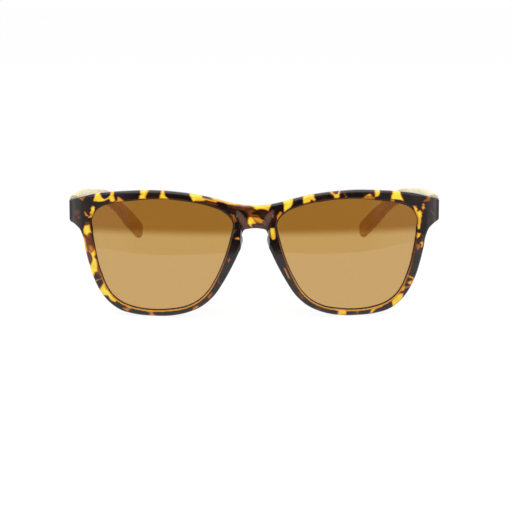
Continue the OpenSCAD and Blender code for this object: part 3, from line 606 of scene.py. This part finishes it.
def makeTemple():
    size = templeSizes
    outline = templeOutline()
    inner = hingeSizes["barrel"] + hingeSizes["gap"]
    outer = inner + size["thickness"]
    out = outward(outline)
    rows = [(inner + size["innerEdge"] * (1 - math.sin(t)), size["innerEdge"] * (1 - math.cos(t)))
            for t in np.radians(np.arange(90, -1, -15))]
    rows += [(outer - size["outerEdge"] * (1 - math.sin(t)), size["outerEdge"] * (1 - math.cos(t)))
             for t in np.radians(np.arange(0, 91, 15))]
    butt = -hingeSizes["barrel"] - hingeSizes["gap"] + size["buttGap"]
    points = []
    for x, inset in rows:
        p = outline - out * inset
        points.append(np.column_stack([np.full(len(p), x), p]))
    stack = np.stack(points, axis=1)
    count, around = stack.shape[:2]
    faces = []
    for i in range(count):
        for k in range(around - 1):
            j = (i + 1) % count
            faces.append((i * around + k, i * around + k + 1, j * around + k + 1, j * around + k))
    faces.append(tuple(i * around for i in range(count)))
    faces.append(tuple(i * around + around - 1 for i in reversed(range(count))))
    mesh = bpy.data.meshes.new("temple")
    mesh.from_pydata(stack.reshape(-1, 3).tolist(), [], faces)
    # the front end is cut square to the front, a little clear of it
    work = bmesh.new()
    work.from_mesh(mesh)
    square = Vector((math.sin(toeIn), math.cos(toeIn), 0))
    cut = bmesh.ops.bisect_plane(work, geom=[*work.verts, *work.edges, *work.faces],
                                 plane_co=square * butt, plane_no=square, clear_inner=True)
    bmesh.ops.holes_fill(work, edges=[e for e in cut["geom_cut"]
                                      if isinstance(e, bmesh.types.BMEdge)])
    work.to_mesh(mesh)
    work.free()
    cleaned(mesh, 0.001)
    # painted shade: the inner side and underside of the temple, from some way along it, are marked
    # to be darkened in the bamboo
    flat = np.empty(len(mesh.vertices) * 3)
    mesh.vertices.foreach_get("normal", flat)
    normals = flat.reshape(-1, 3).copy()
    shade = mesh.attributes.new("innerSide", "FLOAT", "POINT")
    mesh.vertices.foreach_get("co", flat)
    share = between(-normals[:, 0] - 0.8 * normals[:, 2], -0.2, 0.5)
    shade.data.foreach_set("value", share * between(flat[1::3], *size["shade"]))
    return mesh


def brokenEdges(source, name, weld, width):
    # a welded copy of a mesh with its edges broken
    work = bmesh.new()
    work.from_mesh(source)
    bmesh.ops.remove_doubles(work, verts=work.verts, dist=weld)
    bmesh.ops.dissolve_limit(work, angle_limit=math.radians(1), verts=work.verts,
                             edges=work.edges)
    edges = [e for e in work.edges if len(e.link_faces) == 2
             and e.calc_face_angle(0) > math.radians(40)]
    bmesh.ops.bevel(work, geom=edges, offset=width, segments=2, profile=0.5,
                    affect="EDGES", clamp_overlap=True)
    bmesh.ops.recalc_face_normals(work, faces=work.faces)
    mesh = bpy.data.meshes.new(name)
    work.to_mesh(mesh)
    work.free()
    return mesh


def dressedCopy(node, name, bevel):
    source = frame["nodes"][node].data
    piece = addPiece(name, brokenEdges(source, name, cadWeld, bevel * mm))
    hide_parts(node)
    return piece


class Wire:
    def __init__(self, finish, socket):
        self.finish, self.socket = finish, socket

    def math(self, operation, *others):
        return self.finish.node("ShaderNodeMath", {"operation": operation},
                                dict(enumerate((self, *others))))

    def __add__(self, other):
        return self.math("ADD", other)

    __radd__ = __add__

    def __sub__(self, other):
        return self.math("SUBTRACT", other)

    def __rsub__(self, other):
        return self.finish.node("ShaderNodeMath", {"operation": "SUBTRACT"}, {0: other, 1: self})

    def __mul__(self, other):
        return self.math("MULTIPLY", other)

    __rmul__ = __mul__

    def __truediv__(self, other):
        return self.math("DIVIDE", other)

    def step(self, low, high):
        return self.finish.node("ShaderNodeMapRange", {"interpolation_type": "SMOOTHSTEP"},
                                {"Value": self, "From Min": low, "From Max": high})


class Finish:
    def __init__(self, tree):
        self.tree = tree
        tree.nodes.clear()

    def node(self, kind, settings=None, sockets=None, out=0):
        made = self.tree.nodes.new(kind)
        for key, value in (settings or {}).items():
            if key == "stops":
                ramp = made.color_ramp
                while len(ramp.elements) < len(value):
                    ramp.elements.new(1)
                for stop, (place, colour) in zip(ramp.elements, value):
                    stop.position, stop.color = place, (*colour, 1)
            else:
                setattr(made, key, value)
        for key, value in (sockets or {}).items():
            if isinstance(value, list):  # a socket that takes several links
                for each in value:
                    self.tree.links.new(each.socket, made.inputs[key])
            elif isinstance(value, Wire):
                self.tree.links.new(value.socket, made.inputs[key])
            else:
                made.inputs[key].default_value = value
        return Wire(self, made.outputs[out]) if made.outputs else None

    def noise(self, place, scale, detail=2, rough=0.5, out="Fac", **more):
        return self.node("ShaderNodeTexNoise", more, {
            "Vector": place, "Scale": scale, "Detail": detail, "Roughness": rough}, out)

    def mix(self, share, low, high, blend="MIX"):
        return self.node("ShaderNodeMix", {"data_type": "RGBA", "blend_type": blend},
                         {0: share, 6: low, 7: high}, 2)

    def bump(self, height, strength, distance):
        return self.node("ShaderNodeBump", None, {
            "Height": height, "Strength": strength, "Distance": distance}, "Normal")


def newFinish(name):
    material = bpy.data.materials.new(name)
    material.use_nodes = True
    return material, Finish(material.node_tree)


def surface(finish, **sockets):
    shader = finish.node("ShaderNodeBsdfPrincipled", None, {
        key.replace("_", " "): value for key, value in sockets.items()})
    finish.node("ShaderNodeOutputMaterial", None, {"Surface": shader})
    return shader


tortoise = {
    "black": (0.010, 0.006, 0.005), "umber": (0.035, 0.010, 0.005), "brown": (0.13, 0.032, 0.006),
    "orange": (0.45, 0.13, 0.010), "amber": (0.86, 0.42, 0.020), "yellow": (1.0, 0.70, 0.040),
    "pale": (1.0, 0.83, 0.060), "grain": 900, "rough": 0.12}


def makeTortoise():
    material, f = newFinish("tortoise acetate")
    place = f.node("ShaderNodeTexCoord", None, None, "Object")
    # the stored tone holds painted light on the lower bevels and painted shade along the lens
    # openings
    light = f.node("ShaderNodeAttribute", {"attribute_name": "lightness"}, None, "Fac")
    grain = f.noise(place, tortoise["grain"], 4, 0.6)
    level = light + (grain - 0.5) * tortoise["rough"]
    colour = f.node("ShaderNodeValToRGB", {"stops": [
        (0.08, tortoise["black"]), (0.22, tortoise["umber"]), (0.38, tortoise["brown"]),
        (0.55, tortoise["orange"]), (0.74, tortoise["amber"]), (0.88, tortoise["yellow"]),
        (1.0, tortoise["pale"])]}, {0: level}, "Color")
    surface(f, Base_Color=colour, Roughness=0.1, IOR=1.5)
    return material


# The lens is darker above a soft step in height: a gradient tint whose step also stands as a
# painted reflection
tintAndPaintedReflection = {"upper": (0.337, 0.150, 0.023), "lower": (0.565, 0.347, 0.115),
            "from": 0.0352, "to": 0.0312}


def makeTint():
    material, f = newFinish("lens tint with painted reflection")
    place = f.node("ShaderNodeTexCoord", None, None, "Object")
    height = f.node("ShaderNodeSeparateXYZ", None, {0: place}, "Z")
    # the step between lower and upper tint is painted reflection as well as gradient tint
    share = height.step(tintAndPaintedReflection["to"], tintAndPaintedReflection["from"])
    colour = f.mix(share, (*tintAndPaintedReflection["lower"], 1), (*tintAndPaintedReflection["upper"], 1))
    surface(f, Base_Color=colour, Roughness=0.0, Transmission_Weight=1.0, IOR=1.5)
    return material


# inner is painted shade, laid over the inner side and underside of each temple
bambooTones = {"pale": (0.95, 0.88, 0.59), "warm": (0.85, 0.73, 0.42),
               "fibre": (0.50, 0.36, 0.17), "inner": (0.70, 0.48, 0.36)}


def makeBamboo():
    material, f = newFinish("bamboo")
    place = f.node("ShaderNodeTexCoord", None, None, "Object")
    along = f.node("ShaderNodeMapping", None, {"Vector": place, "Scale": (1, 0.03, 1)})
    strips = f.noise(along, 260, 3, 0.6)
    fibres = f.noise(along, 2600, 4, 0.65)
    colour = f.mix(strips.step(0.35, 0.68), (*bambooTones["pale"], 1), (*bambooTones["warm"], 1))
    colour = f.mix(fibres.step(0.56, 0.72) * 0.6, colour, (*bambooTones["fibre"], 1))
    # painted shade: the inner side and underside are darkened and browned
    inner = f.node("ShaderNodeAttribute", {"attribute_name": "innerSide"}, None, "Fac")
    colour = f.mix(inner, colour, f.mix(1.0, colour, (*bambooTones["inner"], 1), "MULTIPLY"))
    surface(f, Base_Color=colour, Roughness=0.42, Normal=f.bump(fibres, 0.25, 0.0001))
    return material


metalTones = {"hinge": (0.56, 0.55, 0.53), "screw": (0.66, 0.65, 0.63),
              "spring": (0.32, 0.32, 0.33), "nut": (0.72, 0.5, 0.2),
              "nylon": (0.78, 0.77, 0.72)}


def makeMetal(name, tone, grain, rough, metallic=1.0):
    material, f = newFinish(name)
    place = f.node("ShaderNodeTexCoord", None, None, "Object")
    drawn = f.node("ShaderNodeMapping", None, {"Vector": place, "Scale": (1, grain, 1)})
    lines = f.noise(drawn, 9000, 3, 0.6)
    cloud = f.noise(place, 700, 2)
    colour = f.mix(cloud.step(0.3, 0.75), (*tone, 1), (*[c * 0.82 for c in tone], 1))
    surface(f, Base_Color=colour, Metallic=metallic, Roughness=rough + 0.15 * lines,
            Normal=f.bump(lines, 0.12, 0.00002))
    return material


# The near edge of the paper, in metres, whose reflection crosses the lenses
paperEdge = [(-0.4, -0.33), (-0.25, -0.305), (-0.196, -0.29), (-0.147, -0.276), (-0.102, -0.28),
             (-0.066, -0.308), (-0.033, -0.338), (0, -0.36), (0.047, -0.334), (0.073, -0.311),
             (0.104, -0.293), (0.141, -0.295), (0.171, -0.304), (0.197, -0.32), (0.24, -0.35),
             (0.4, -0.36)]
paperSize = {"side": 4, "rear": 6, "nearSides": -0.29}


def rayKinds(finish):
    return {name: finish.node("ShaderNodeLightPath", None, None, name) for name in
            ("Is Camera Ray", "Is Transmission Ray", "Is Glossy Ray")}


def makeStudio():
    scene = bpy.context.scene
    camera = bpy.data.objects.new("camera", bpy.data.cameras.new("camera"))
    scene.collection.objects.link(camera)
    camera.location = cameraView["place"]
    camera.rotation_euler = (math.radians(90 - cameraView["downwards"]), 0,
                             math.radians(cameraView["turn"]))
    camera.data.lens = cameraView["lens"]
    camera.data.shift_x, camera.data.shift_y = cameraView["shift"]
    camera.data.clip_start = 0.01
    scene.camera = camera
    scene.view_settings.view_transform = "Standard"

    world = bpy.data.worlds.new("studio")
    world.use_nodes = True
    scene.world = world
    f = Finish(world.node_tree)
    path = rayKinds(f)
    direction = f.node("ShaderNodeTexCoord", None, None, "Generated")
    towards = f.node("ShaderNodeSeparateXYZ", None, {0: direction}, "Y") * -1
    # gloss sees white walls at the sides and a dark room behind the camera
    room = f.node("ShaderNodeValToRGB", {"stops": [
        (0.0, (1, 1, 1)), (0.5, (1, 1, 1)), (0.88, (0.3, 0.3, 0.3)), (0.9, (0.03, 0.03, 0.03)),
        (1.0, (0.03, 0.03, 0.03))]}, {0: towards}, "Color")
    level = f.mix(path["Is Glossy Ray"], (0.62, 0.62, 0.62, 1), room)
    level = f.mix(path["Is Camera Ray"] + path["Is Transmission Ray"], level, (1, 1, 1, 1))
    back = f.node("ShaderNodeBackground", None, {"Color": level, "Strength": 1.0})
    f.node("ShaderNodeOutputWorld", None, {"Surface": back})

    material, f = newFinish("paper")
    path = rayKinds(f)
    plain = f.node("ShaderNodeBsdfDiffuse", None, {"Color": (0.86, 0.86, 0.86, 1)})
    shown = f.mix(path["Is Camera Ray"], (1, 1, 1, 1), (1.1, 1.1, 1.1, 1))
    glow = f.node("ShaderNodeEmission", None, {"Color": shown, "Strength": 1.0})
    share = path["Is Camera Ray"] * 0.8 + path["Is Transmission Ray"] + path["Is Glossy Ray"]
    mixed = f.node("ShaderNodeMixShader", None, {0: share, 1: plain, 2: glow})
    f.node("ShaderNodeOutputMaterial", None, {"Surface": mixed})
    floor = bpy.data.meshes.new("floor")
    side, rear, near = paperSize["side"], paperSize["rear"], paperSize["nearSides"]
    sheet = [(-side, near, 0), *[(x, y, 0) for x, y in paperEdge], (side, near, 0),
             (side, rear, 0), (-side, rear, 0)]
    floor.from_pydata(sheet, [], [tuple(range(len(sheet)))])
    floor.materials.append(material)
    paper = bpy.data.objects.new("floor", floor)
    scene.collection.objects.link(paper)

    lamps = {"top": ((0.0, -0.25, 1.0), 1.1, 4.2), "left": ((-0.9, -0.35, 0.5), 0.7, 2.0),
             "right": ((0.9, -0.35, 0.5), 0.7, 2.0)}
    for name, (place, size, power) in lamps.items():
        light = bpy.data.lights.new(name, "AREA")
        light.size, light.energy = size, power
        lamp = bpy.data.objects.new(name, light)
        lamp.location = place
        lamp.rotation_euler = (-Vector(place)).to_track_quat("-Z", "Y").to_euler()
        scene.collection.objects.link(lamp)


makeStudio()
print("camera, room and lamps ready")

finishes = {
    "tortoise": makeTortoise(), "lens": makeTint(), "bamboo": makeBamboo(),
    "hinge_metal": makeMetal("satin nickel", metalTones["hinge"], 0.08, 0.24),
    "screw_metal": makeMetal("polished steel", metalTones["screw"], 1, 0.12),
    "spring_steel": makeMetal("spring wire", metalTones["spring"], 1, 0.25),
    "stop_nut": makeMetal("turned brass", metalTones["nut"], 1, 0.2),
    "washer": makeMetal("nylon", metalTones["nylon"], 1, 0.45, 0.0)}
print("finishes ready")


def finishPiece(piece, body, slotName):
    piece.data.materials.clear()
    piece.data.materials.append(finishes[slotName])
    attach(piece, body)


springSizes = {"Coil Radius": 0.78, "Wire Radius": 0.14, "Turns": 8.5, "Closed Turns": 1.2,
               "Length": 7.48}
springFit = {"start": 4.96, "seat": 4.82, "nut": 12.58, "travel": 1.2}
housingScrewSizes = {"Count": 2, "Pitch": 4.0, "Shank Radius": 0.6, "Length": 3.0,
                     "Head Radius": 1.0, "Head Height": 0.4, "Slot Width": 0.25}
housingScrewPlace = {"along": 16.8, "inner": 1.05}
hingeScrewSizes = {"Count": 1, "Pitch": 0.0, "Shank Radius": 0.7, "Length": 6.32,
                   "Head Radius": 1.05, "Head Height": 0.5, "Slot Width": 0.25}
screwEdges = {"weld": 0.001, "width": 0.04}


def newTree(name, sizes):
    tree = bpy.data.node_groups.new(name, "GeometryNodeTree")
    tree.interface.new_socket("Geometry", in_out="OUTPUT", socket_type="NodeSocketGeometry")
    tree.interface.new_socket("Finish", in_out="INPUT", socket_type="NodeSocketMaterial")
    for key, value in sizes.items():
        kind = "NodeSocketInt" if isinstance(value, int) else "NodeSocketFloat"
        tree.interface.new_socket(key, in_out="INPUT", socket_type=kind)
    f = Finish(tree)
    entry = tree.nodes.new("NodeGroupInput")
    return tree, f, {socket.name: Wire(f, socket) for socket in entry.outputs if socket.name}


def closeTree(f, shape, given):
    real = f.node("GeometryNodeRealizeInstances", None, {"Geometry": shape})
    done = f.node("GeometryNodeSetMaterial", None, {"Geometry": real, "Material": given["Finish"]})
    f.node("NodeGroupOutput", None, {"Geometry": done})


def moved(f, shape, height):
    place = f.node("ShaderNodeCombineXYZ", None, {"Z": height})
    return f.node("GeometryNodeTransform", None, {"Geometry": shape, "Translation": place})


def springTree():
    # a wire coil along Z whose first and last turns lie close together
    tree, f, given = newTree("coil spring", springSizes)
    coil = f.node("GeometryNodeCurveSpiral", None, {
        "Resolution": 28, "Rotations": given["Turns"], "Start Radius": given["Coil Radius"],
        "End Radius": given["Coil Radius"], "Height": given["Length"]})
    turn = f.node("GeometryNodeSplineParameter", None, None, "Factor") * given["Turns"]
    close = given["Wire Radius"] * 2.04
    openTurns = given["Turns"] - given["Closed Turns"] * 2
    pitch = (given["Length"] - close * given["Closed Turns"] * 2) / openTurns
    opened = (turn - given["Closed Turns"]).math("MAXIMUM", 0.0).math("MINIMUM", openTurns)
    height = turn * close + opened * (pitch - close)
    flat = f.node("ShaderNodeSeparateXYZ", None, {0: f.node("GeometryNodeInputPosition")})
    side = Wire(f, flat.socket.node.outputs["Y"])
    place = f.node("ShaderNodeCombineXYZ", None, {"X": flat, "Y": side, "Z": height})
    coil = f.node("GeometryNodeSetPosition", None, {"Geometry": coil, "Position": place})
    wire = f.node("GeometryNodeCurvePrimitiveCircle", None, {
        "Resolution": 12, "Radius": given["Wire Radius"]})
    closeTree(f, f.node("GeometryNodeCurveToMesh", None, {
        "Curve": coil, "Profile Curve": wire, "Fill Caps": True}), given)
    return tree


def screwTree():
    # countersunk screws in a row along Y, heads up, their tops at Z = 0
    tree, f, given = newTree("slotted screws", housingScrewSizes)
    shank = f.node("GeometryNodeMeshCylinder", None, {
        "Vertices": 32, "Radius": given["Shank Radius"], "Depth": given["Length"]})
    head = f.node("GeometryNodeMeshCone", None, {
        "Vertices": 32, "Radius Top": given["Head Radius"],
        "Radius Bottom": given["Shank Radius"], "Depth": given["Head Height"]})
    exact = {"solver": "EXACT"}
    solid = f.node("GeometryNodeMeshBoolean", {"operation": "UNION", **exact}, {"Mesh 2": [
        moved(f, shank, given["Length"] * -0.5), moved(f, head, given["Head Height"] * -1)]})
    room = f.node("ShaderNodeCombineXYZ", None, {
        "X": given["Head Radius"] * 4, "Y": given["Slot Width"], "Z": given["Head Height"]})
    slot = f.node("GeometryNodeMeshCube", None, {"Size": room})
    screw = f.node("GeometryNodeMeshBoolean", {"operation": "DIFFERENCE", **exact},
                   {"Mesh 1": solid, "Mesh 2": slot})
    step = f.node("ShaderNodeCombineXYZ", None, {"Y": given["Pitch"]})
    row = f.node("GeometryNodeMeshLine", None, {"Count": given["Count"], "Offset": step})
    closeTree(f, f.node("GeometryNodeInstanceOnPoints", None, {
        "Points": row, "Instance": screw}), given)
    return tree


def grown(name, tree, sizes, finish):
    carrier = bpy.data.objects.new(name, bpy.data.meshes.new(name))
    bpy.context.scene.collection.objects.link(carrier)
    modifier = carrier.modifiers.new("make", "NODES")
    modifier.node_group = tree
    for socket in tree.interface.items_tree:
        if socket.in_out == "INPUT":
            modifier[socket.identifier] = {**sizes, "Finish": finish}[socket.name]
    graph = bpy.context.evaluated_depsgraph_get()
    mesh = bpy.data.meshes.new_from_object(carrier.evaluated_get(graph), depsgraph=graph)
    carrier.modifiers.remove(modifier)
    bpy.data.objects.remove(carrier)
    return mesh


frontMesh = leafPocket(makeFront())
markPatches(frontMesh)
frontPiece = addPiece("frontShell", frontMesh, standing, 35)
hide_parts("front_frame")
finishPiece(frontPiece, "front", "tortoise")
print("front made", len(frontMesh.polygons))

coilTree, slottedTree = springTree(), screwTree()
for side, word in ((1, "right"), (-1, "left")):
    lensPiece = addPiece(word + "Lens", makeLens(), standing if side > 0 else mirror @ standing)
    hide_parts(word + "_lens")
    finishPiece(lensPiece, "front", "lens")
    templePiece = addPiece(word + "Temple", makeTemple(), atTemple[side])
    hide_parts(word + "_temple")
    finishPiece(templePiece, word + "_arm", "bamboo")
    for node, body, slotName, bevel in (
            ("front_hinge", "front", "hinge_metal", 0.12),
            ("hinge_washers", "front", "washer", 0.03),
            ("hinge_tongue", word + "_slider", "hinge_metal", 0.1),
            ("spring_stop", word + "_slider", "stop_nut", 0.08),
            ("spring_housing", word + "_arm", "hinge_metal", 0.2)):
        piece = dressedCopy(word + "_" + node, word + node.title().replace("_", ""), bevel)
        finishPiece(piece, body, slotName)

    name = word + "SliderSpring"
    coil = grown(name, coilTree, springSizes, finishes["spring_steel"])
    cleaned(coil, 0.001)
    springPiece = addPiece(name, coil, atTemple[side] @ Matrix.Translation(
        (0, springFit["start"], 0)) @ Matrix.Rotation(math.radians(-90), 4, "X"))
    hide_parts(word + "_slider_spring")
    finishPiece(springPiece, word + "_arm", "spring_steel")
    seat = atTemple[side] @ Vector((0, springFit["seat"], 0))
    nut = atTemple[side] @ Vector((0, springFit["nut"], 0))
    nut - seat
    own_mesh(springPiece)

    for ending, body, sizes, place in (
            ("HingeScrew", "front", hingeScrewSizes, atHinge[side] @ Matrix.Translation(
                (0, 0, hingeSizes["stack"] / 2))),
            ("HousingScrews", word + "_arm", housingScrewSizes, atTemple[side]
             @ Matrix.Translation((housingScrewPlace["inner"], housingScrewPlace["along"], 0))
             @ Matrix.Rotation(math.radians(-90), 4, "Y"))):
        name = word + ending
        screws = brokenEdges(grown(name, slottedTree, sizes, finishes["screw_metal"]), name,
                             screwEdges["weld"], screwEdges["width"])
        screwPiece = addPiece(name, screws, place)
        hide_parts(word + ("_hinge_screw" if body == "front" else "_housing_screws"))
        finishPiece(screwPiece, body, "screw_metal")
print("lenses, temples, hinges, springs and screws made")
